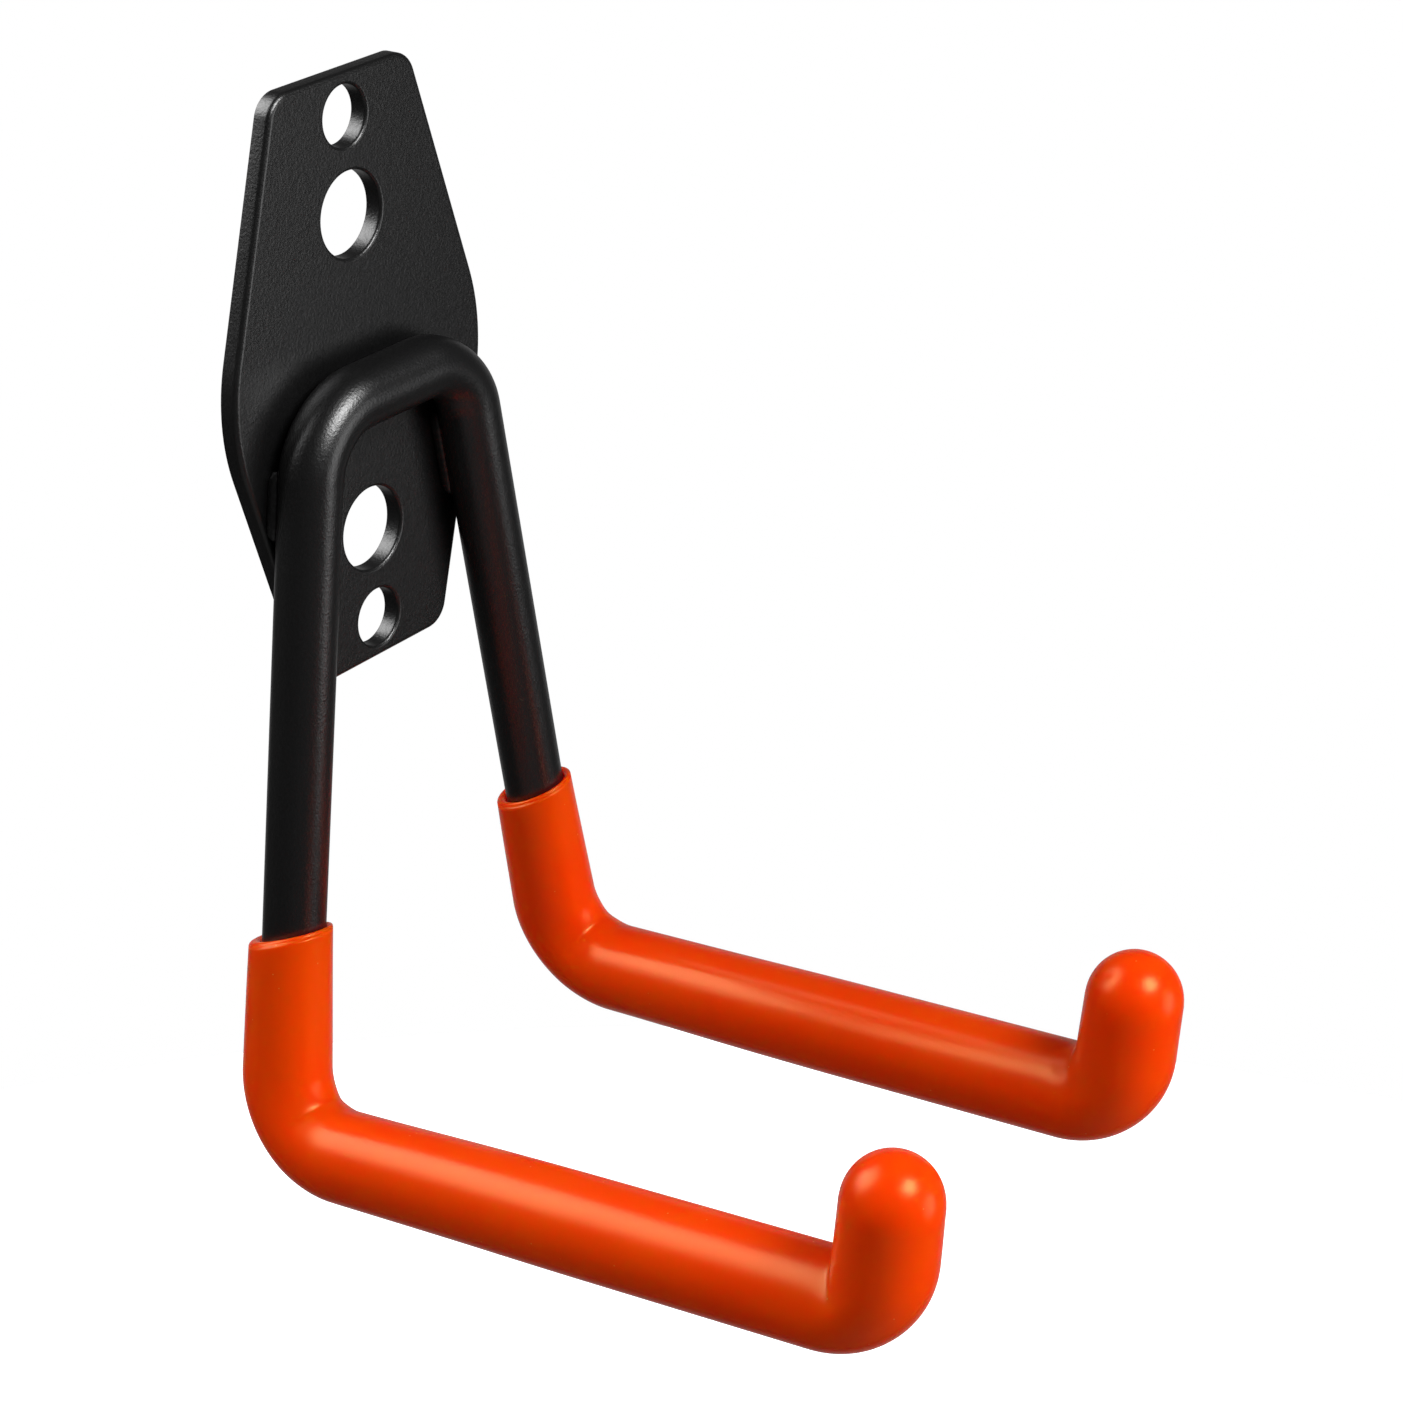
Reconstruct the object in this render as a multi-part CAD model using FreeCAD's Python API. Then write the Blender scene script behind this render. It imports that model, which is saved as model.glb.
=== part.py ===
import FreeCAD, Part
import math
import os

V = FreeCAD.Vector

# Double-armed utility hook: a bent round bar welded to a stamped wall plate, with dipped sleeves.
# Millimetres. The origin is the centre of the plate's back face, which lies flat on the wall.
# +X runs along the wall, +Y points into the wall and +Z is up, so the arms reach out along -Y.

# Wall plate, a stretched hexagon of sheet steel. Widths are taken between sharp corners.
plate_height = 76.0
plate_end_width = 24.8
plate_waist_width = 48.0
plate_thickness = 2.5
plate_end_corner_radius = 3.6
plate_waist_corner_radius = 26.0
plate_front_edge_rounding = 0.6

# Screw holes on the plate's upright centre line: a small one near each end, a large one inside it.
small_hole_diameter = 7.6
small_hole_end_margin = 5.3
large_hole_diameter = 10.8
hole_pitch = 12.2
hole_rim_chamfer = 0.4

# Bent bar. The spacings lie between the two sides' axes, at the corners of the centreline.
bar_diameter = 8.0
bar_bend_radius = 9.4
bar_end_chamfer = 0.8
bar_seat_gap = 0.02
crossbar_height = -0.3
crossbar_corner_spacing = 27.4
leg_drop = 93.7
elbow_spacing = 57.6
arm_reach = 89.7
arm_rise = 7.5
arm_front_spacing = 54.2
tip_rise = 15.4
tip_lean = 1.7
tip_top_spacing = 53.8

# Sleeves, thick round the arm and thinning up the leg to a mouth that is higher at the front.
# Lengths on the leg are taken from the centreline's corner at the elbow.
sleeve_wall = 2.1
sleeve_end_wall = 4.5
sleeve_bore_clearance = 0.1
sleeve_mouth_height_on_leg = 28.5
sleeve_mouth_slope_deg = 20.0
sleeve_mouth_wall = 1.2
sleeve_thinning_starts_on_leg = 10.8

# Fillet welds in the grooves between legs and plate, given as drops below the crossbar's axis.
weld_outer_top = 8.4
weld_outer_bottom = 14.2
weld_inner_top = 9.4
weld_inner_bottom = 18.6
weld_bead_radius = 1.5
weld_end_radius = 0.9
weld_run_out_length = 1.4
weld_height_above_plate = 0.65
weld_depth_into_leg = 1.1
weld_root_gap = 0.02

# Tolerance for telling whether points and edges lie where they are expected.
match_tolerance = 1e-3

# Places that follow from the sizes above.
bar_radius = bar_diameter / 2
plate_front_y = -plate_thickness
bar_plane_y = plate_front_y - bar_seat_gap - bar_radius
bore_radius = bar_radius + sleeve_bore_clearance
mouth_radius = bore_radius + sleeve_mouth_wall
sleeve_radius = bore_radius + sleeve_wall
mouth_trim_length = 2 * mouth_radius


def direction(start, end):
    """Unit vector from one point towards another."""
    return (end - start).normalize()


def bend_at(before, corner, after, radius):
    """Start, middle and end of the arc that rounds one corner of a path."""
    back = direction(corner, before)
    ahead = direction(corner, after)
    half_turn = (math.pi - back.getAngle(ahead)) / 2
    inward = (back + ahead).normalize()
    tangent = radius * math.tan(half_turn)
    rise = radius / math.cos(half_turn) - radius
    return corner + back * tangent, corner + inward * rise, corner + ahead * tangent


def rounded_path(corners, radius):
    """Open wire of straight runs joined by tangent arcs."""
    edges = []
    here = corners[0]
    for before, corner, after in zip(corners, corners[1:], corners[2:]):
        start, middle, end = bend_at(before, corner, after, radius)
        edges.append(Part.makeLine(here, start))
        edges.append(Part.Arc(start, middle, end).toShape())
        here = end
    edges.append(Part.makeLine(here, corners[-1]))
    return Part.Wire(edges)


def round_section(centre, ahead, radius):
    """Round wire across the direction of travel."""
    return Part.Wire(Part.makeCircle(radius, centre, ahead))


def round_sweep(corners, bend_radius, radius):
    """Solid round section swept along a rounded path."""
    section = round_section(corners[0], direction(corners[0], corners[1]), radius)
    return rounded_path(corners, bend_radius).makePipe(Part.Face(section))


def tapered_run(start, end, start_radius, end_radius):
    """Straight round length whose radius changes evenly from one end to the other."""
    length = (end - start).Length
    ahead = direction(start, end)
    if abs(start_radius - end_radius) < match_tolerance:
        return Part.makeCylinder(start_radius, length, start, ahead)
    return Part.makeCone(start_radius, end_radius, length, start, ahead)


def rounded_outline(corners, radii):
    """Closed wire through the corners, each one rounded by an arc of its own radius."""
    count = len(corners)
    bends = []
    for index, corner in enumerate(corners):
        after = corners[(index + 1) % count]
        bends.append(bend_at(corners[index - 1], corner, after, radii[index]))
    edges = []
    for index, (start, middle, end) in enumerate(bends):
        next_start = bends[(index + 1) % count][0]
        edges.append(Part.Arc(start, middle, end).toShape())
        edges.append(Part.makeLine(end, next_start))
    return Part.Wire(edges)


def edges_at_depth(solid, depth_y):
    """Edges that lie wholly in the upright plane at the given depth."""
    found = []
    for edge in solid.Edges:
        box = edge.BoundBox
        if max(abs(box.YMin - depth_y), abs(box.YMax - depth_y)) < match_tolerance:
            found.append(edge)
    return found


def wall_plate():
    """Stamped plate with rounded corners and four holes, its front edges rolled over."""
    end_x = plate_end_width / 2
    waist_x = plate_waist_width / 2
    end_z = plate_height / 2
    corners = [
        V(-end_x, 0, end_z),
        V(end_x, 0, end_z),
        V(waist_x, 0, 0),
        V(end_x, 0, -end_z),
        V(-end_x, 0, -end_z),
        V(-waist_x, 0, 0),
    ]
    end_radii = [plate_end_corner_radius, plate_end_corner_radius]
    radii = 2 * (end_radii + [plate_waist_corner_radius])
    blank = Part.Face(rounded_outline(corners, radii)).extrude(V(0, plate_front_y, 0))
    blank = blank.makeFillet(plate_front_edge_rounding, edges_at_depth(blank, plate_front_y))
    return blank.cut(hole_drills())


def hole_drills():
    """Drills for the four screw holes of the plate."""
    small_hole_height = plate_height / 2 - small_hole_end_margin
    pairs = [
        (small_hole_diameter / 2, small_hole_height),
        (large_hole_diameter / 2, small_hole_height - hole_pitch),
    ]
    drills = []
    for radius, height in pairs:
        drills.append(rim_chamfered_drill(radius, height))
        drills.append(rim_chamfered_drill(radius, -height))
    return drills


def rim_chamfered_drill(radius, z):
    """Drill with a straight wall and a short cone that widens it at the plate's front."""
    through = Part.makeCylinder(radius, 3 * plate_thickness, V(0, plate_thickness, z), V(0, -1, 0))
    rim = Part.makeCone(radius, radius + 2 * hole_rim_chamfer, 2 * hole_rim_chamfer,
                        V(0, plate_front_y + hole_rim_chamfer, z), V(0, -1, 0))
    return through.fuse(rim)


def right_corners():
    """Corners of the bar's centreline on the right, from the crossbar to the round tip's centre."""
    elbow_z = crossbar_height - leg_drop
    front_y = bar_plane_y - arm_reach
    front_z = elbow_z + arm_rise
    return [
        V(crossbar_corner_spacing / 2, bar_plane_y, crossbar_height),
        V(elbow_spacing / 2, bar_plane_y, elbow_z),
        V(arm_front_spacing / 2, front_y, front_z),
        V(tip_top_spacing / 2, front_y - tip_lean, front_z + tip_rise),
    ]


def bar_end_point():
    """Where the bar ends inside the right sleeve's round tip."""
    tip_corner, dome_centre = right_corners()[2:]
    return dome_centre + direction(tip_corner, dome_centre) * (sleeve_radius - sleeve_end_wall)


def bar_sweep(radius):
    """Round section swept from tip to tip over both arms, both legs and the crossbar."""
    right = right_corners()[:3] + [bar_end_point()]
    left = [V(-corner.x, corner.y, corner.z) for corner in right]
    return round_sweep(left[::-1] + right, bar_bend_radius, radius)


def hook_bar():
    """The bent bar with its two ends chamfered."""
    bar = bar_sweep(bar_radius)
    right_end = bar_end_point()
    end_edges = []
    for edge in bar.Edges:
        centre = edge.CenterOfMass
        if (V(abs(centre.x), centre.y, centre.z) - right_end).Length < match_tolerance:
            end_edges.append(edge)
    return bar.makeChamfer(bar_end_chamfer, end_edges)


def point_on_leg(distance):
    """Point on the right leg's axis, measured upward from the elbow's corner."""
    crossbar_corner, elbow = right_corners()[:2]
    return elbow + direction(elbow, crossbar_corner) * distance


def sleeve_body():
    """Outer form of the right sleeve, from above its mouth to the dome that closes its tip."""
    _, elbow, tip_corner, dome_centre = right_corners()
    thinning_start = point_on_leg(sleeve_thinning_starts_on_leg)
    mouth = point_on_leg(sleeve_mouth_height_on_leg)
    above_mouth = point_on_leg(sleeve_mouth_height_on_leg + mouth_trim_length)
    corners = [thinning_start, elbow, tip_corner, dome_centre]
    body = round_sweep(corners, bar_bend_radius, sleeve_radius)
    return body.multiFuse([
        tapered_run(thinning_start, mouth, sleeve_radius, mouth_radius),
        tapered_run(mouth, above_mouth, mouth_radius, mouth_radius),
        Part.makeSphere(sleeve_radius, dome_centre, direction(tip_corner, dome_centre), 0, 90, 360),
    ])


def sleeve_bore():
    """Room for the bar in the right sleeve."""
    _, elbow, tip_corner, dome_centre = right_corners()
    bore_top = point_on_leg(sleeve_mouth_height_on_leg + 2 * mouth_trim_length)
    bore_end = bar_end_point() + direction(tip_corner, dome_centre) * sleeve_bore_clearance
    return round_sweep([bore_top, elbow, tip_corner, bore_end], bar_bend_radius, bore_radius)


def above_mouth_block():
    """Block that trims the right sleeve along its sloping mouth."""
    size = 2 * mouth_trim_length
    block = Part.makeBox(size, size, size, V(-size / 2, -size / 2, 0))
    block.rotate(V(0, 0, 0), V(1, 0, 0), -sleeve_mouth_slope_deg)
    block.translate(point_on_leg(sleeve_mouth_height_on_leg))
    return block


def right_sleeve():
    """Soft sleeve that is closed over the tip and open on the leg."""
    return sleeve_body().cut([sleeve_bore(), above_mouth_block()]).removeSplitter()


def right_weld(flank, top_drop, bottom_drop):
    """Weld in the groove beside the right leg, on its outer (+1) or inner (-1) flank."""
    crossbar_corner, elbow = right_corners()[:2]
    down_leg = direction(crossbar_corner, elbow)
    outward = V(-down_leg.z, 0, down_leg.x)
    centre_distance = bar_radius + weld_bead_radius - weld_depth_into_leg
    centre_height = bar_radius + bar_seat_gap - weld_height_above_plate
    offset = outward * (flank * math.sqrt(centre_distance ** 2 - centre_height ** 2))
    offset.y = centre_height
    ends = []
    for drop in (top_drop, bottom_drop):
        ends.append(crossbar_corner + down_leg * (drop / abs(down_leg.z)) + offset)
    run_out = down_leg * weld_run_out_length
    bead = tapered_run(ends[0], ends[1], weld_bead_radius, weld_bead_radius)
    bead = bead.multiFuse([
        tapered_run(ends[0], ends[0] - run_out, weld_bead_radius, weld_end_radius),
        tapered_run(ends[1], ends[1] + run_out, weld_bead_radius, weld_end_radius),
    ])
    behind_face = Part.makeBox(
        2 * plate_waist_width, weld_bead_radius, 2 * plate_height,
        V(-plate_waist_width, plate_front_y - weld_root_gap, -plate_height))
    return bead.cut([behind_face, bar_sweep(bar_radius + weld_root_gap)]).removeSplitter()


def build():
    """All sub-parts of the hook by name, the left ones mirrored from the right."""
    parts = {"wall_plate": wall_plate(), "hook_bar": hook_bar()}
    paired = {
        "sleeve": right_sleeve(),
        "outer_weld": right_weld(1, weld_outer_top, weld_outer_bottom),
        "inner_weld": right_weld(-1, weld_inner_top, weld_inner_bottom),
    }
    for name, shape in paired.items():
        parts[f"right_{name}"] = shape
        parts[f"left_{name}"] = shape.mirror(V(0, 0, 0), V(1, 0, 0))
    return parts


os.makedirs("parts", exist_ok=True)
for node, shape in build().items():
    (solid,) = shape.Solids
    solid.exportStep(os.path.join("parts", f"{node}.step"))
    print(node, "valid", solid.isValid(), "volume", round(solid.Volume, 2))
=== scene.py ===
import math

import bmesh
import bpy
from mathutils import Matrix, Vector


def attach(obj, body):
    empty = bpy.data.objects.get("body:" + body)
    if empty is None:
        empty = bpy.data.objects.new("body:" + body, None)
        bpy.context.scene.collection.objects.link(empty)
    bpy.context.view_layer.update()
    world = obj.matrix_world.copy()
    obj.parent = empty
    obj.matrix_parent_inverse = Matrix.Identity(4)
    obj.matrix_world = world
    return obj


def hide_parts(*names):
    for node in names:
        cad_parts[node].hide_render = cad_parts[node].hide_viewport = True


# Garage utility hook. Sizes are in millimetres and become metres when a mesh is made.
# +X runs along the wall, +Y points into the wall and +Z is up, as in the frame.
MM = 0.001
toward_room = Vector((0, -1, 0))

# Camera, solved together with the object's proportions.
camera_place = (-311.854, -284.992, 154.148)
camera_azimuth_deg = -53.3636
camera_elevation_deg = 25.5191
camera_roll_deg = 1.5139
camera_lens = 92.66
camera_sensor = 36.0
camera_sees_from = 10
camera_sees_to = 50000

# Wall plate.
plate_height = 76.0
plate_end_width = 24.8
plate_waist_width = 48.0
plate_thickness = 2.5
plate_end_corner_radius = 3.6
plate_waist_corner_radius = 26.0
plate_front_rolling = 0.7
plate_back_rolling = 0.2
small_hole_radius = 3.8
small_hole_height = 32.7
large_hole_radius = 5.4
large_hole_height = 20.5
hole_rim_rolling = 0.45

# Bar. The corners are those of its centreline, on the right.
bar_radius = 4.0
bend_radius = 9.4
bar_bend_flattening = 0.22
bar_end_chamfer = 0.8
bar_axis_y = -6.52
crossbar_corner = Vector((13.7, bar_axis_y, -0.3))
elbow_corner = Vector((28.8, bar_axis_y, -94.0))
front_corner = Vector((27.1, -96.22, -86.5))
dome_centre = Vector((26.9, -97.92, -71.1))
bar_end_past_dome_centre = 1.7

# Sleeves. The skin stands a little off the bar's axis: outward, and towards the wall at the mouth.
sleeve_mouth_radius = 5.22
sleeve_elbow_radius = 5.95
sleeve_arm_radius = 6.25
sleeve_tip_radius = 6.08
sleeve_dome_height = 6.35
sleeve_set_outward = 0.2
sleeve_set_back = 0.35
sleeve_elbow_flattening = 0.1
sleeve_mouth_height_on_leg = 28.5
sleeve_mouth_slope = math.tan(math.radians(20))
sleeve_slope_length = 17.7
sleeve_bore_radius = 4.1
sleeve_bore_end_past_dome_centre = 1.8
left_tip_crease = 0.9
right_tip_crease = 0.3
elbow_crease = 0.2
crease_softness = 0.12
crease_side_from = -0.1
crease_side_full = 0.9

# Distances along a sleeve from its mouth, and how far before or after them its form changes.
elbow_at = sleeve_mouth_height_on_leg
front_at = elbow_at + (front_corner - elbow_corner).length
arm_middle_at = (elbow_at + front_at) / 2
arm_full_before_front = 45
tip_narrows_before_front = 5
tip_narrow_after_front = 12
set_back_ends_before_elbow = 5
set_outward_fades_after_elbow = (5, 30)
bore_starts_below_mouth = 4

# Welds, given as drops below the crossbar's axis.
weld_spans = {"outer": (8.4, 14.2), "inner": (9.4, 18.6)}
weld_overrun = 1.5
weld_radius = 1.25
weld_height_above_plate = 0.5
weld_depth_into_leg = 1.1
weld_taper = 2.4
weld_gap = 0.02
weld_ripple = 0.025
weld_ripple_pitch = 1.15
weld_wander = 0.9
weld_wander_pitch = 3.7

# Looks. Colours are linear red, green and blue. Scales of noise are in lumps per millimetre,
# and a span is the part of its range in which one colour or roughness blends into the other.
# Specks have the same kind of scale, and their radii are shares of the spacing between them.
coat_colours = (0.003, 0.003, 0.0031), (0.007, 0.007, 0.0072)
coat_colour_span = (0.35, 0.7)
coat_roughness = (0.36, 0.36, 0.36), (0.28, 0.28, 0.28)
coat_roughness_span = (0.3, 0.7)
coat_ior = 1.75
coat_grain_scale = 3.0
coat_grain_height = 0.05
coat_grain_strength = 0.75
coat_peel_scale = 0.7
coat_peel_height = 0.05
coat_peel_strength = 0.35
vinyl_colours = (0.95, 0.052, 0.0003), (1.0, 0.065, 0.0005)
vinyl_colour_span = (0.3, 0.7)
vinyl_cloud_scale = 0.05
vinyl_wave_scale = 0.12
vinyl_wave_height = 0.15
vinyl_wave_strength = 0.25
vinyl_roughness = 0.25
vinyl_ior = 1.55
vinyl_gloss_tint = (1.0, 0.6, 0.2, 1)
vinyl_scatter_depth = 3.0
vinyl_scatter_by_colour = (1.0, 0.1, 0.03)
speck_scale = 0.35
speck_colour = (1.0, 0.35, 0.12, 1)
speck_radius = 0.025
speck_fade_radius = 0.045
speck_strength = 0.5

# Stage, in metres and degrees. Azimuth 0 is the room side and 90 is +X. A patch of the studio
# is at its level up to "full" degrees from its middle and gone at "rim" degrees.
floor_height = -0.45
floor_radius = 0.6
floor_paleness = 0.8
floor_bounce = 0.45
floor_middle_glow = 0.1
floor_white_from = 0.12
floor_white_at = 0.36
floor_roughness = 0.9
backdrop_patch = {"azimuth": 126.6, "elevation": -25.5, "rim": 50, "full": 15, "level": 0.3}
table_patch = {"azimuth": -53.0, "elevation": -55.0, "rim": 46, "full": 20, "level": 0.12}
studio_ambient = 0.03
lamp_distance = 0.7
lamp_aim = (0, -0.05, -0.06)
umbrella_core = 0.2
umbrella_peak = 2.55

# Mesh fineness.
bar_segments = 64
sleeve_segments = 112
hole_segments = 72
weld_segments = 24
floor_segments = 96
ring_step = 0.55
coarse_ring_step = 4 * ring_step
bend_rings = 36
bore_bend_rings = 18
lip_rings_count = 8
dome_rings_count = 22
weld_rings_count = 72
corner_steps = 16
rolling_steps = 8

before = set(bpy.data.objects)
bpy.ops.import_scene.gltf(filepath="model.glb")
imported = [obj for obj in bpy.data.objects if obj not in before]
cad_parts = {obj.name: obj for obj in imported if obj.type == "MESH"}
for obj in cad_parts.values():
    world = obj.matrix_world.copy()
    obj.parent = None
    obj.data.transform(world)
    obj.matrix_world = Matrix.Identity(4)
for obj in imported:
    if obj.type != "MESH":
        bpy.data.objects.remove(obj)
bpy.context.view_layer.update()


# Paths.


def direction(start, end):
    """Unit vector from one point towards another."""
    return (end - start).normalized()


def smoothstep(low, high, value):
    """Smooth rise from 0 to 1 while the value goes from low to high."""
    share = min(1.0, max(0.0, (value - low) / (high - low)))
    return share * share * (3 - 2 * share)


class Bend:
    """Arc that rounds one corner of a path."""

    def __init__(self, before, corner, after, radius):
        back = direction(corner, before)
        ahead = direction(corner, after)
        self.half_turn = (math.pi - back.angle(ahead)) / 2
        self.length = 2 * self.half_turn * radius
        self.centre = corner + (back + ahead).normalized() * (radius / math.cos(self.half_turn))
        self.start = corner + back * (radius * math.tan(self.half_turn))
        self.end = corner + ahead * (radius * math.tan(self.half_turn))
        self.axis = (-back).cross(ahead).normalized()

    def at(self, share):
        """Place, heading and angle from the nearer tangent, at a share of the bend."""
        turn = share * 2 * self.half_turn
        out = Matrix.Rotation(turn, 3, self.axis) @ (self.start - self.centre)
        ahead = self.axis.cross(out).normalized()
        return self.centre + out, ahead, min(turn, 2 * self.half_turn - turn)


class Station:
    """One ring's place along a path."""

    def __init__(self, place, ahead, travelled, bend=None, from_tangent=0.0):
        self.place = place
        self.ahead = ahead
        self.travelled = travelled
        self.bend = bend
        self.from_tangent = from_tangent

    def bend_depth(self):
        """0 where a bend starts and ends, 1 in its middle."""
        return math.sin(self.from_tangent / self.bend.half_turn * math.pi / 2) ** 2

    def toward_bend_centre(self):
        """Unit vector from this place towards the centre of its bend."""
        return direction(self.place, self.bend.centre)


def straight_run(start, end, travelled, step):
    """Stations along a straight line, without its start."""
    length = (end - start).length
    count = max(2, math.ceil(length / step))
    ahead = direction(start, end)
    found = []
    for index in range(1, count + 1):
        share = index / count
        found.append(Station(start.lerp(end, share), ahead, travelled + length * share))
    return found


def curved_run(bend, travelled, steps):
    """Stations round a bend, without its start."""
    found = []
    for index in range(1, steps + 1):
        share = index / steps
        place, ahead, from_tangent = bend.at(share)
        found.append(Station(place, ahead, travelled + bend.length * share, bend, from_tangent))
    return found


def stations(corners, radius, step, bend_steps):
    """Evenly spaced places along straight runs and the arcs between them."""
    start = corners[0]
    found = [Station(start, direction(start, corners[1]), 0.0)]
    for before, corner, after in zip(corners, corners[1:], corners[2:]):
        bend = Bend(before, corner, after, radius)
        found += straight_run(start, bend.start, found[-1].travelled, step)
        found += curved_run(bend, found[-1].travelled, bend_steps)
        start = bend.end
    return found + straight_run(start, corners[-1], found[-1].travelled, step)


def carried_normals(route, first_normal):
    """A cross direction at each station, turned along with the path and never twisted."""
    normal = first_normal
    found = []
    for station in route:
        normal = (normal - station.ahead * normal.dot(station.ahead)).normalized()
        found.append(normal)
    return found


# Meshes.


def new_piece(name, node, bm, material):
    """Object from a bmesh in millimetres that stands for a node of the frame."""
    bmesh.ops.scale(bm, vec=(MM, MM, MM), verts=bm.verts)
    mesh = bpy.data.meshes.new(name)
    bm.to_mesh(mesh)
    bm.free()
    mesh.materials.append(material)
    piece = bpy.data.objects.new(name, mesh)
    bpy.context.scene.collection.objects.link(piece)
    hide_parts(node)
    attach(piece, "root")


def ring_of(bm, points):
    """New vertices at the points, in the same order."""
    return [bm.verts.new(point) for point in points]


def spokes(ahead, normal, count):
    """Unit directions all round a heading, starting at the normal."""
    side = ahead.cross(normal)
    angles = [2 * math.pi * index / count for index in range(count)]
    return [normal * math.cos(angle) + side * math.sin(angle) for angle in angles]


def circle_points(centre, ahead, normal, radius, count):
    """Points of a circle square to a heading."""
    return [centre + out * radius for out in spokes(ahead, normal, count)]


def skin(bm, rings):
    """Smooth quads between each ring and the one after it."""
    for first, second in zip(rings, rings[1:]):
        for index in range(len(first)):
            following = (index + 1) % len(first)
            corners = (first[index], first[following], second[following], second[index])
            bm.faces.new(corners).smooth = True


def cap(bm, ring, centre):
    """Fan that closes a ring."""
    middle = bm.verts.new(centre)
    for index, corner in enumerate(ring):
        bm.faces.new((corner, ring[(index + 1) % len(ring)], middle)).smooth = True


def face_outward(bm):
    """Turn the fronts of a closed skin's faces outward."""
    bmesh.ops.recalc_face_normals(bm, faces=bm.faces)


def mirrored(bm):
    """The same mesh on the other side of the hook's middle plane."""
    other = bm.copy()
    bmesh.ops.scale(other, vec=(-1, 1, 1), verts=other.verts)
    bmesh.ops.reverse_faces(other, faces=other.faces)
    return other


def outer_flattening(station, out):
    """Share, from 0 to 1, by which a bend presses its outer side flat in one direction."""
    if station.bend is None:
        return 0.0
    outer_side = max(0.0, -out.dot(station.toward_bend_centre()))
    return station.bend_depth() * outer_side ** 2


# Bar.


def bar_corners():
    """Corners of the whole bar's centreline, from the left tip to the right one."""
    end = dome_centre + direction(front_corner, dome_centre) * bar_end_past_dome_centre
    right = [crossbar_corner, elbow_corner, front_corner, end]
    left = [Vector((-corner.x, corner.y, corner.z)) for corner in right]
    return left[::-1] + right


def bar_ring(station, normal):
    """Points of one cross section, a little flattened on the outside of a bend."""
    points = []
    for out in spokes(station.ahead, normal, bar_segments):
        radius = bar_radius - bar_bend_flattening * outer_flattening(station, out)
        points.append(station.place + out * radius)
    return points


def close_bar_end(bm, end, ring, inward):
    """Chamfer and flat face at one end of the bar, whose last ring moves back by the chamfer."""
    rim = [end.place.lerp(vert.co, 1 - bar_end_chamfer / bar_radius) for vert in ring]
    for vert in ring:
        vert.co += end.ahead * inward * bar_end_chamfer
    inner = ring_of(bm, rim)
    skin(bm, [ring, inner])
    cap(bm, inner, end.place)


def bar_mesh():
    """Round bar in one piece from tip to tip."""
    bm = bmesh.new()
    route = stations(bar_corners(), bend_radius, coarse_ring_step, bend_rings)
    normals = carried_normals(route, Vector((1, 0, 0)))
    rings = [ring_of(bm, bar_ring(station, normal)) for station, normal in zip(route, normals)]
    close_bar_end(bm, route[0], rings[0], 1)
    close_bar_end(bm, route[-1], rings[-1], -1)
    skin(bm, rings)
    face_outward(bm)
    return bm


# Sleeves.


def mouth_place():
    """Middle of the sleeve's mouth, on the leg's axis."""
    return elbow_corner + direction(elbow_corner, crossbar_corner) * sleeve_mouth_height_on_leg


def bore_end():
    """Middle of the flat end of the bore, inside the closed tip."""
    return dome_centre + direction(front_corner, dome_centre) * sleeve_bore_end_past_dome_centre


def sleeve_outer_radius(travelled):
    """Outer radius along the sleeve: thin at the mouth and full at the arm's front end."""
    if travelled < elbow_at:
        return sleeve_mouth_radius + (sleeve_elbow_radius - sleeve_mouth_radius) * travelled / elbow_at
    arm = smoothstep(elbow_at, front_at - arm_full_before_front, travelled)
    tip = smoothstep(front_at - tip_narrows_before_front, front_at + tip_narrow_after_front, travelled)
    radius = sleeve_elbow_radius + (sleeve_arm_radius - sleeve_elbow_radius) * arm
    return radius + (sleeve_tip_radius - sleeve_arm_radius) * tip


def sleeve_offset(travelled):
    """How far the skin's middle stands off the bar's axis."""
    fade_start, fade_end = (elbow_at + distance for distance in set_outward_fades_after_elbow)
    on_leg = 1 - smoothstep(fade_start, fade_end, travelled)
    on_tip = smoothstep(front_at, front_at + tip_narrow_after_front, travelled)
    near_mouth = 1 - smoothstep(0, elbow_at - set_back_ends_before_elbow, travelled)
    return Vector((sleeve_set_outward * (on_leg + on_tip), sleeve_set_back * near_mouth, 0))


def crease_stretch(station, crease):
    """How much farther from the bend's centre the surface lies where a bend closes to a crease."""
    half = station.bend.half_turn
    away = (half - station.from_tangent) / half
    reach = math.hypot(1, crease_softness) - crease_softness
    closeness = (math.hypot(away, crease_softness) - crease_softness) / reach
    return 1 + crease * (1 / math.cos(half * (1 - closeness)) - 1)


def sleeve_point(station, out, radius, crease):
    """Point of the sleeve's skin, drawn into the corner on the inner side of a bend."""
    point = station.place + out * radius
    if station.bend is None:
        return point
    inner_side = smoothstep(crease_side_from, crease_side_full, out.dot(station.toward_bend_centre()))
    stretch = 1 + (crease_stretch(station, crease) - 1) * inner_side
    point -= out * (sleeve_elbow_flattening * outer_flattening(station, out))
    from_centre = point - station.bend.centre
    across = station.bend.axis * from_centre.dot(station.bend.axis)
    return station.bend.centre + across + (from_centre - across) * stretch


def sleeve_ring(station, normal, tip_crease):
    """Points of the outer skin round one station. Near the mouth the ring slants as the mouth does."""
    crease = tip_crease if station.travelled > arm_middle_at else elbow_crease
    radius = sleeve_outer_radius(station.travelled)
    offset = sleeve_offset(station.travelled)
    slant = sleeve_mouth_slope * (1 - smoothstep(0, sleeve_slope_length, station.travelled))
    points = []
    for out in spokes(station.ahead, normal, sleeve_segments):
        point = sleeve_point(station, out, radius, crease) + offset
        points.append(point - station.ahead * (slant * radius * out.dot(normal)))
    return points


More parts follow.
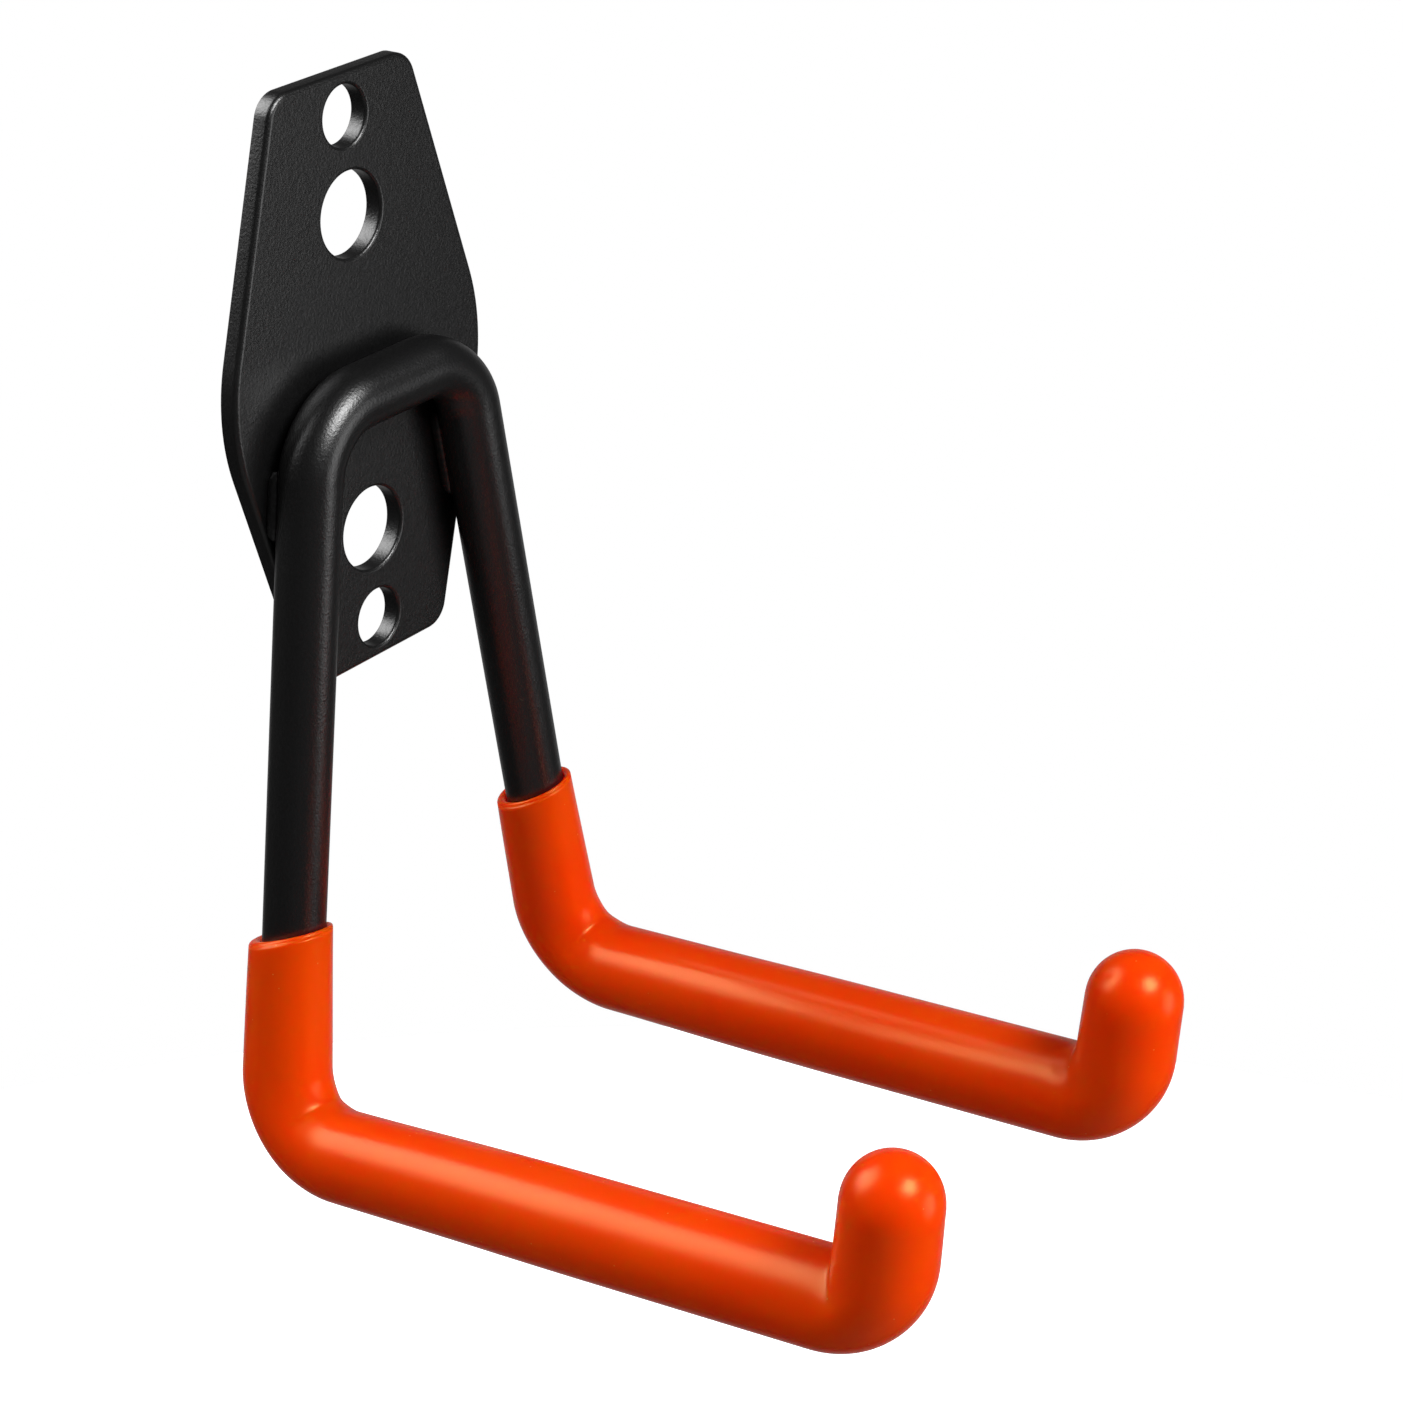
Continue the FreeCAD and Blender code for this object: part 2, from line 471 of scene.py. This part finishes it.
def lip_rings(bm, mouth, normal):
    """Rings from the outer side over the rounded and slanted lip to the bore."""
    half_wall = (sleeve_mouth_radius - sleeve_bore_radius) / 2
    middle = (sleeve_mouth_radius + sleeve_bore_radius) / 2
    rings = []
    for index in range(lip_rings_count + 1):
        angle = math.pi * index / lip_rings_count
        radius = middle + half_wall * math.cos(angle)
        lift = half_wall * (math.sin(angle) - 1)
        offset = Vector((sleeve_set_outward, sleeve_set_back, 0)) * ((1 + math.cos(angle)) / 2)
        points = []
        for out in spokes(mouth.ahead, normal, sleeve_segments):
            rise = sleeve_mouth_slope * radius * out.dot(normal) + lift
            points.append(mouth.place + out * radius - mouth.ahead * rise + offset)
        rings.append(ring_of(bm, points))
    return rings


def bore_rings(bm, mouth, normal):
    """Rings of the bore from below the lip to its end in the tip."""
    corners = [mouth.place, elbow_corner, front_corner, bore_end()]
    route = stations(corners, bend_radius, coarse_ring_step, bore_bend_rings)
    rings = []
    for station, cross in zip(route, carried_normals(route, normal)):
        if station.travelled < bore_starts_below_mouth:
            continue
        outs = spokes(station.ahead, cross, sleeve_segments)
        rings.append(ring_of(bm, [station.place + out * sleeve_bore_radius for out in outs]))
    return rings


def dome_rings(bm, base, ahead, normal):
    """Rings of the round tip, all but its pole."""
    rings = []
    for index in range(1, dome_rings_count):
        angle = math.pi / 2 * index / dome_rings_count
        centre = base + ahead * (sleeve_dome_height * math.sin(angle))
        radius = sleeve_tip_radius * math.cos(angle)
        rings.append(ring_of(bm, circle_points(centre, ahead, normal, radius, sleeve_segments)))
    return rings


def sleeve_mesh(tip_crease):
    """Right sleeve as one closed skin: the bore, the rounded lip, the outer side and the round tip."""
    bm = bmesh.new()
    corners = [mouth_place(), elbow_corner, front_corner, dome_centre]
    route = stations(corners, bend_radius, ring_step, bend_rings)
    normals = carried_normals(route, toward_room)
    inside = lip_rings(bm, route[0], normals[0]) + bore_rings(bm, route[0], normals[0])
    cap(bm, inside[-1], bore_end())
    outside = []
    for station, normal in zip(route[1:], normals[1:]):
        outside.append(ring_of(bm, sleeve_ring(station, normal, tip_crease)))
    last = route[-1]
    base = last.place + sleeve_offset(last.travelled)
    outside += dome_rings(bm, base, last.ahead, normals[-1])
    cap(bm, outside[-1], base + last.ahead * sleeve_dome_height)
    skin(bm, inside[::-1] + outside)
    face_outward(bm)
    return bm


# Wall plate.


def plate_outline():
    """Points of the plate's outline with rounded corners, and the outward direction at each."""
    end_x = plate_end_width / 2
    waist_x = plate_waist_width / 2
    end_z = plate_height / 2
    corners = [
        (Vector((-end_x, 0, end_z)), plate_end_corner_radius),
        (Vector((end_x, 0, end_z)), plate_end_corner_radius),
        (Vector((waist_x, 0, 0)), plate_waist_corner_radius),
        (Vector((end_x, 0, -end_z)), plate_end_corner_radius),
        (Vector((-end_x, 0, -end_z)), plate_end_corner_radius),
        (Vector((-waist_x, 0, 0)), plate_waist_corner_radius),
    ]
    outline = []
    for index, (corner, radius) in enumerate(corners):
        before = corners[index - 1][0]
        after = corners[(index + 1) % len(corners)][0]
        bend = Bend(before, corner, after, radius)
        for step in range(corner_steps + 1):
            place = bend.at(step / corner_steps)[0]
            outline.append((place, direction(bend.centre, place)))
    return outline


def hole_outline(radius, height):
    """Points round a hole, and at each the direction into the metal."""
    outline = []
    for index in range(hole_segments):
        angle = 2 * math.pi * index / hole_segments
        out = Vector((math.cos(angle), 0, math.sin(angle)))
        outline.append((Vector((0, 0, height)) + out * radius, -out))
    return outline


def rolled_wall(bm, outline, front_rolling, back_rolling):
    """Wall between the plate's two faces with both edges rolled over. Returns its edge rings."""
    quarter = [math.pi / 2 * index / rolling_steps for index in range(rolling_steps + 1)]
    rows = []
    for angle in quarter:
        depth = -plate_thickness + front_rolling * (1 - math.cos(angle))
        rows.append((front_rolling * (1 - math.sin(angle)), depth))
    for angle in quarter:
        depth = -back_rolling * (1 - math.sin(angle))
        rows.append((back_rolling * (1 - math.cos(angle)), depth))
    rings = []
    for inset, depth in rows:
        points = [place - out * inset + Vector((0, depth, 0)) for place, out in outline]
        rings.append(ring_of(bm, points))
    skin(bm, rings)
    return rings[0], rings[-1]


def ring_edges(bm, ring):
    """The mesh's edges along a closed ring."""
    return [bm.edges.get(pair) for pair in zip(ring, ring[1:] + ring[:1])]


def fill_flat(bm, edges):
    """Flat face inside the outline and round the holes that the edges give."""
    filled = bmesh.ops.triangle_fill(bm, use_beauty=True, use_dissolve=False, edges=edges)
    for face in filled["geom"]:
        if isinstance(face, bmesh.types.BMFace):
            face.smooth = False


def plate_mesh():
    """Stamped plate with rolled edges and four holes with softened rims."""
    outlines = [(plate_outline(), plate_front_rolling)]
    holes = ((small_hole_radius, small_hole_height), (large_hole_radius, large_hole_height))
    for radius, height in holes:
        outlines.append((hole_outline(radius, height), hole_rim_rolling))
        outlines.append((hole_outline(radius, -height), hole_rim_rolling))
    bm = bmesh.new()
    fronts = []
    backs = []
    for outline, rolling in outlines:
        front, back = rolled_wall(bm, outline, rolling, plate_back_rolling)
        fronts += ring_edges(bm, front)
        backs += ring_edges(bm, back)
    fill_flat(bm, fronts)
    fill_flat(bm, backs)
    face_outward(bm)
    return bm


# Welds.


def weld_radius_at(along, length):
    """Radius of a bead, faintly and unevenly rippled, with ends that taper into the metal."""
    from_end = min(along, length - along)
    swell = math.sqrt(1 - max(0.0, 1 - from_end / weld_taper) ** 2)
    wander = weld_wander * math.sin(2 * math.pi * along / weld_wander_pitch)
    ripple = weld_ripple * (math.cos(2 * math.pi * along / weld_ripple_pitch + wander) - 1)
    return (weld_radius + ripple) * swell


def weld_surface(point, down_leg):
    """The point, kept off the plate's face and pushed out of the leg."""
    lifted = Vector((point.x, min(point.y, -plate_thickness - weld_gap), point.z))
    foot = crossbar_corner + down_leg * (lifted - crossbar_corner).dot(down_leg)
    if (lifted - foot).length >= bar_radius + weld_gap:
        return lifted
    return foot + direction(foot, lifted) * (bar_radius + weld_gap)


def weld_offset(flank, down_leg):
    """From the leg's axis to the bead's axis, which lies in the groove between leg and plate."""
    outward = Vector((-down_leg.z, 0, down_leg.x))
    distance = bar_radius + weld_radius - weld_depth_into_leg
    height = bar_radius + weld_gap - weld_height_above_plate
    return outward * (flank * math.sqrt(distance ** 2 - height ** 2)) + Vector((0, height, 0))


def weld_mesh(flank, top_drop, bottom_drop):
    """Bead in the groove beside the right leg, on its outer (+1) or inner (-1) flank."""
    down_leg = direction(crossbar_corner, elbow_corner)
    axis_top = crossbar_corner + weld_offset(flank, down_leg)
    start = axis_top + down_leg * (top_drop / abs(down_leg.z) - weld_overrun)
    length = (bottom_drop - top_drop) / abs(down_leg.z) + 2 * weld_overrun
    bm = bmesh.new()
    rings = []
    for index in range(1, weld_rings_count):
        along = length * index / weld_rings_count
        centre = start + down_leg * along
        radius = weld_radius_at(along, length)
        circle = circle_points(centre, down_leg, toward_room, radius, weld_segments)
        rings.append(ring_of(bm, [weld_surface(point, down_leg) for point in circle]))
    skin(bm, rings)
    cap(bm, rings[0], weld_surface(start, down_leg))
    cap(bm, rings[-1], weld_surface(start + down_leg * length, down_leg))
    face_outward(bm)
    return bm


# Materials.


def new_material(name):
    """Material with its nodes, its links and its main shader."""
    material = bpy.data.materials.new(name)
    material.use_nodes = True
    nodes = material.node_tree.nodes
    return material, nodes, material.node_tree.links, nodes["Principled BSDF"]


def number_node(nodes, links, operation, first, second):
    """Math node of two values, each a socket or a plain number."""
    result = nodes.new("ShaderNodeMath")
    result.operation = operation
    for index, value in enumerate((first, second)):
        if isinstance(value, (int, float)):
            result.inputs[index].default_value = value
        else:
            links.new(value, result.inputs[index])
    return result.outputs["Value"]


def vector_node(nodes, links, operation, first, second=(0, 0, 0)):
    """Number that a vector operation makes of a socket and a plain vector."""
    result = nodes.new("ShaderNodeVectorMath")
    result.operation = operation
    result.inputs[1].default_value = second
    links.new(first, result.inputs[0])
    return result.outputs["Value"]


def rise_between(nodes, links, value, start, end, low, high):
    """Smooth rise from low to high while the value goes from start to end."""
    rise = nodes.new("ShaderNodeMapRange")
    rise.interpolation_type = "SMOOTHSTEP"
    rise.inputs["From Min"].default_value = start
    rise.inputs["From Max"].default_value = end
    rise.inputs["To Min"].default_value = low
    rise.inputs["To Max"].default_value = high
    links.new(value, rise.inputs["Value"])
    return rise.outputs["Result"]


def object_noise(nodes, links, scale, detail):
    """Noise in the object's own metres. The scale is in lumps per millimetre."""
    place = nodes.new("ShaderNodeTexCoord")
    noise = nodes.new("ShaderNodeTexNoise")
    noise.inputs["Scale"].default_value = scale / MM
    noise.inputs["Detail"].default_value = detail
    links.new(place.outputs["Object"], noise.inputs["Vector"])
    return noise.outputs["Fac"]


def ramp(nodes, links, value, span, colours):
    """Blend from the first colour to the second while the value crosses the span."""
    blend = nodes.new("ShaderNodeValToRGB")
    for element, position, colour in zip(blend.color_ramp.elements, span, colours):
        element.position = position
        element.color = (*colour, 1)
    links.new(value, blend.inputs["Fac"])
    return blend.outputs["Color"]


def bump(nodes, links, height, distance_mm, strength, below=None):
    """Relief from a height, on top of the relief below it if there is one."""
    relief = nodes.new("ShaderNodeBump")
    relief.inputs["Distance"].default_value = distance_mm * MM
    relief.inputs["Strength"].default_value = strength
    links.new(height, relief.inputs["Height"])
    if below is not None:
        links.new(below, relief.inputs["Normal"])
    return relief.outputs["Normal"]


def powder_coat():
    """Satin black powder coat: fine grain over a faint orange peel."""
    material, nodes, links, shader = new_material("black_powder_coat")
    grain = object_noise(nodes, links, coat_grain_scale, detail=3)
    peel = object_noise(nodes, links, coat_peel_scale, detail=2)
    colour = ramp(nodes, links, grain, coat_colour_span, coat_colours)
    rough = ramp(nodes, links, grain, coat_roughness_span, coat_roughness)
    lumps = bump(nodes, links, peel, coat_peel_height, coat_peel_strength)
    relief = bump(nodes, links, grain, coat_grain_height, coat_grain_strength, lumps)
    links.new(colour, shader.inputs["Base Color"])
    links.new(rough, shader.inputs["Roughness"])
    links.new(relief, shader.inputs["Normal"])
    shader.inputs["IOR"].default_value = coat_ior
    return material


def with_specks(nodes, links, colour):
    """The colour with a few small pale specks of dust in it."""
    place = nodes.new("ShaderNodeTexCoord")
    cells = nodes.new("ShaderNodeTexVoronoi")
    cells.inputs["Scale"].default_value = speck_scale / MM
    links.new(place.outputs["Object"], cells.inputs["Vector"])
    from_middle = cells.outputs["Distance"]
    inside = rise_between(nodes, links, from_middle, speck_radius, speck_fade_radius, speck_strength, 0.0)
    mix = nodes.new("ShaderNodeMix")
    mix.data_type = "RGBA"
    links.new(inside, mix.inputs["Factor"])
    links.new(colour, mix.inputs["A"])
    mix.inputs["B"].default_value = speck_colour
    return mix.outputs["Result"]


def soft_vinyl():
    """Glossy orange dipped vinyl, a little translucent, with faint waves and dust specks."""
    material, nodes, links, shader = new_material("orange_vinyl")
    cloud = object_noise(nodes, links, vinyl_cloud_scale, detail=2)
    colour = ramp(nodes, links, cloud, vinyl_colour_span, vinyl_colours)
    waves = object_noise(nodes, links, vinyl_wave_scale, detail=1)
    relief = bump(nodes, links, waves, vinyl_wave_height, vinyl_wave_strength)
    links.new(with_specks(nodes, links, colour), shader.inputs["Base Color"])
    links.new(relief, shader.inputs["Normal"])
    shader.inputs["Roughness"].default_value = vinyl_roughness
    shader.inputs["IOR"].default_value = vinyl_ior
    shader.inputs["Specular Tint"].default_value = vinyl_gloss_tint
    shader.inputs["Subsurface Weight"].default_value = 1.0
    shader.inputs["Subsurface Radius"].default_value = vinyl_scatter_by_colour
    shader.inputs["Subsurface Scale"].default_value = vinyl_scatter_depth * MM
    return material


def pale_floor():
    """Pale matt floor that the camera sees whiter the farther it is from the middle."""
    material, nodes, links, shader = new_material("pale_floor")
    path = nodes.new("ShaderNodeLightPath")
    seen = path.outputs["Is Camera Ray"]
    bounced = number_node(nodes, links, "MULTIPLY", path.outputs["Is Diffuse Ray"], floor_bounce)
    direct = number_node(nodes, links, "MULTIPLY", seen, floor_paleness)
    pale = number_node(nodes, links, "MAXIMUM", bounced, direct)
    shade = nodes.new("ShaderNodeCombineColor")
    for channel in ("Red", "Green", "Blue"):
        links.new(pale, shade.inputs[channel])
    links.new(shade.outputs["Color"], shader.inputs["Base Color"])
    shader.inputs["Roughness"].default_value = floor_roughness
    shader.inputs["Specular IOR Level"].default_value = 0.0
    place = nodes.new("ShaderNodeTexCoord")
    away = vector_node(nodes, links, "LENGTH", place.outputs["Object"])
    white = rise_between(nodes, links, away, floor_white_from, floor_white_at, floor_middle_glow, 1.0)
    glow = nodes.new("ShaderNodeEmission")
    links.new(number_node(nodes, links, "MULTIPLY", white, seen), glow.inputs["Strength"])
    both = nodes.new("ShaderNodeAddShader")
    links.new(shader.outputs["BSDF"], both.inputs[0])
    links.new(glow.outputs["Emission"], both.inputs[1])
    links.new(both.outputs["Shader"], nodes["Material Output"].inputs["Surface"])
    return material


# Stage.


def toward_azimuth(azimuth_deg, elevation_deg):
    """Unit vector. Azimuth 0 is the room side and 90 is +X."""
    azimuth = math.radians(azimuth_deg)
    elevation = math.radians(elevation_deg)
    level = math.cos(elevation)
    return Vector((math.sin(azimuth) * level, -math.cos(azimuth) * level, math.sin(elevation)))


def make_camera():
    """Camera at the photograph's place, heading and roll."""
    back = toward_azimuth(camera_azimuth_deg, camera_elevation_deg)
    turn = back.to_track_quat("Z", "Y").to_matrix().to_4x4()
    roll = Matrix.Rotation(-math.radians(camera_roll_deg), 4, "Z")
    lens = bpy.data.cameras.new("camera")
    lens.lens = camera_lens
    lens.sensor_width = camera_sensor
    lens.clip_start = camera_sees_from * MM
    lens.clip_end = camera_sees_to * MM
    camera = bpy.data.objects.new("camera", lens)
    camera.matrix_world = Matrix.Translation(Vector(camera_place) * MM) @ turn @ roll
    bpy.context.scene.collection.objects.link(camera)
    bpy.context.scene.camera = camera


def add_lamp(name, azimuth_deg, elevation_deg, width, height, watts):
    """Oval area lamp aimed at the hook's middle, its width and height in metres."""
    lamp = bpy.data.lights.new(name, "AREA")
    lamp.shape = "ELLIPSE"
    lamp.size = width
    lamp.size_y = height
    lamp.energy = watts
    holder = bpy.data.objects.new(name, lamp)
    toward = toward_azimuth(azimuth_deg, elevation_deg)
    holder.location = Vector(lamp_aim) + toward * lamp_distance
    holder.rotation_euler = toward.to_track_quat("Z", "Y").to_euler()
    bpy.context.scene.collection.objects.link(holder)
    return holder


def fade_to_rim(lamp):
    """Make an oval lamp brightest in its middle, as an umbrella is, at about the same power.

    Places on its face run from 0 to 1 along both of its axes.
    """
    middle = (0.5, 0.5, 0.0)
    rim = 0.5
    lamp.use_nodes = True
    nodes = lamp.node_tree.nodes
    links = lamp.node_tree.links
    face = nodes.new("ShaderNodeNewGeometry")
    from_middle = vector_node(nodes, links, "DISTANCE", face.outputs["Parametric"], middle)
    strength = rise_between(nodes, links, from_middle, umbrella_core / 2, rim, umbrella_peak, 0.0)
    links.new(strength, nodes["Emission"].inputs["Strength"])


def make_lamps():
    """Two umbrellas and a small dim panel that show in the gloss, and soft fill that doesn't."""
    umbrellas = [
        add_lamp("front_umbrella", 2, 46, 0.62, 0.48, 4.7),
        add_lamp("back_umbrella", -157, 41, 0.87, 0.87, 4.2),
    ]
    for umbrella in umbrellas:
        fade_to_rim(umbrella.data)
    add_lamp("front_panel", 24, -3, 0.4, 0.42, 0.78)
    fills = [
        add_lamp("front_fill", 18, -2, 0.6, 0.6, 2.3),
        add_lamp("left_fill", -85, 8, 0.6, 0.6, 0.75),
    ]
    for fill in fills:
        fill.visible_glossy = False


def patch_node(nodes, links, patch):
    """Round patch of the studio round one direction, full in its middle and dark past its rim."""
    place = nodes.new("ShaderNodeTexCoord")
    middle = toward_azimuth(patch["azimuth"], patch["elevation"])
    closeness = vector_node(nodes, links, "DOT_PRODUCT", place.outputs["Generated"], middle)
    rim = math.cos(math.radians(patch["rim"]))
    full = math.cos(math.radians(patch["full"]))
    return rise_between(nodes, links, closeness, rim, full, 0.0, patch["level"])


def make_world():
    """White all round for the camera. Gloss shows only the white backdrop and the table in front."""
    world = bpy.data.worlds.new("studio")
    world.use_nodes = True
    bpy.context.scene.world = world
    nodes = world.node_tree.nodes
    links = world.node_tree.links
    path = nodes.new("ShaderNodeLightPath")
    backdrop = patch_node(nodes, links, backdrop_patch)
    table = patch_node(nodes, links, table_patch)
    pale = number_node(nodes, links, "MAXIMUM", backdrop, table)
    glossy = path.outputs["Is Glossy Ray"]
    by_gloss = number_node(nodes, links, "MAXIMUM", glossy, path.outputs["Is Transmission Ray"])
    in_gloss = number_node(nodes, links, "MULTIPLY", by_gloss, pale)
    seen = number_node(nodes, links, "MAXIMUM", in_gloss, path.outputs["Is Camera Ray"])
    strength = number_node(nodes, links, "MAXIMUM", seen, studio_ambient)
    background = nodes["Background"]
    background.inputs["Color"].default_value = (1, 1, 1, 1)
    links.new(strength, background.inputs["Strength"])


def make_floor():
    """Pale round floor far below the hook, with a rim as white as the backdrop."""
    bm = bmesh.new()
    bmesh.ops.create_circle(bm, cap_ends=True, radius=floor_radius, segments=floor_segments)
    mesh = bpy.data.meshes.new("floor")
    bm.to_mesh(mesh)
    bm.free()
    mesh.materials.append(pale_floor())
    floor = bpy.data.objects.new("floor", mesh)
    floor.location = (0, 0, floor_height)
    floor.visible_glossy = False
    bpy.context.scene.collection.objects.link(floor)


def build_pieces():
    """All eight pieces of the hook, the left ones as mirror images of the right ones."""
    coat = powder_coat()
    vinyl = soft_vinyl()
    new_piece("bent_bar", "hook_bar", bar_mesh(), coat)
    new_piece("stamped_plate", "wall_plate", plate_mesh(), coat)
    left_sleeve = mirrored(sleeve_mesh(left_tip_crease))
    right_sleeve = sleeve_mesh(right_tip_crease)
    new_piece("left_vinyl_sleeve", "left_sleeve", left_sleeve, vinyl)
    new_piece("right_vinyl_sleeve", "right_sleeve", right_sleeve, vinyl)
    for flank, sign in (("outer", 1), ("inner", -1)):
        bead = weld_mesh(sign, *weld_spans[flank])
        new_piece(f"left_{flank}_bead", f"left_{flank}_weld", mirrored(bead), coat)
        new_piece(f"right_{flank}_bead", f"right_{flank}_weld", bead, coat)


bpy.context.scene.view_settings.view_transform = "Standard"
build_pieces()
make_camera()
make_lamps()
make_world()
make_floor()
